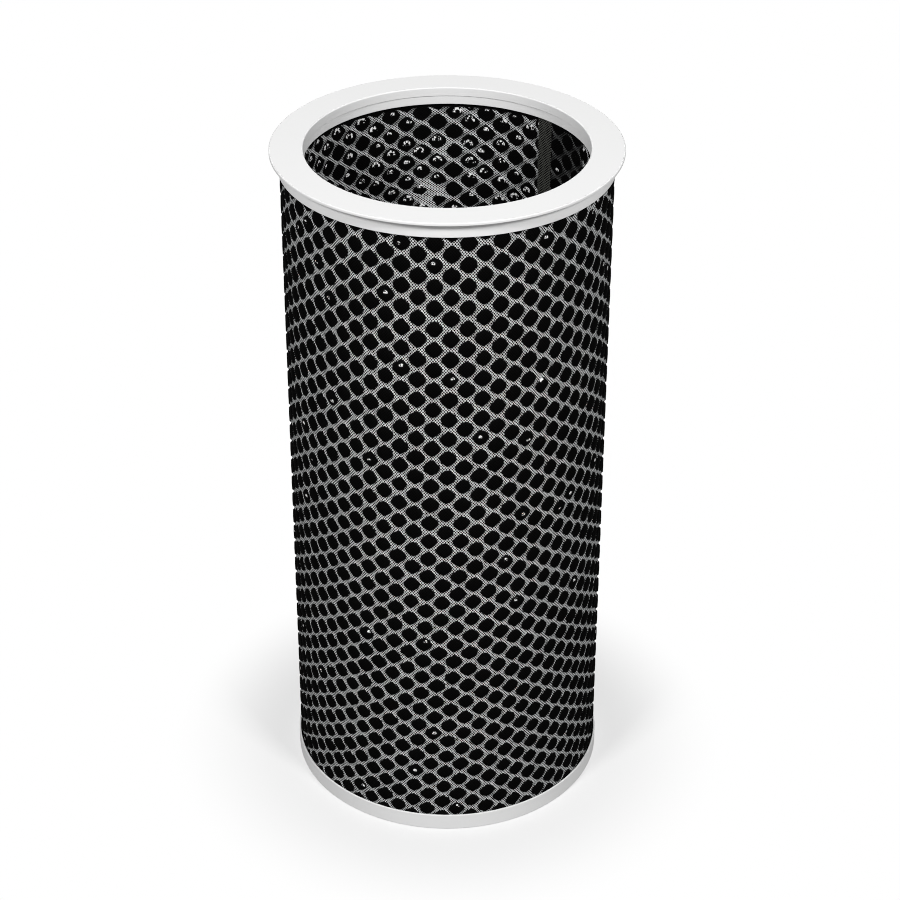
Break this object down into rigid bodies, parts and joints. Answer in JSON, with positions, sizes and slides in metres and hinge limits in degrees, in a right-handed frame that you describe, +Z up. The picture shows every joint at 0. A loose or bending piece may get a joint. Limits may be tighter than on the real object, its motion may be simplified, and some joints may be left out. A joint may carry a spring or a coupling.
{
  "type": "air purifier filter",
  "caption": "Upright tube of mesh-faced honeycomb filled with black carbon, open through the middle, with a white flanged ring on top and a plain white ring at the foot.",
  "frame": {"origin": "centre of the flat underside of the lower ring", "axes": "+Z up along the tube's axis towards the flange, the panel's seam lies between +X and +Y"},
  "size_m": [0.165, 0.165, 0.344],
  "materials": {
    "ring_plastic": "satin moulded",
    "carbon": "rough granular",
    "seam_glue": "matt",
    "mesh": "woven, glued grey over the cell walls",
    "potting": "cast"
  },
  "bodies": {
    "root": {"top_ring": "ring_plastic", "bottom_ring": "ring_plastic", "honeycomb_core": "carbon", "seam_strip": "seam_glue", "outer_mesh": "mesh", "inner_mesh": "mesh", "top_potting": "potting", "bottom_potting": "potting"}
  },
  "joints": []
}
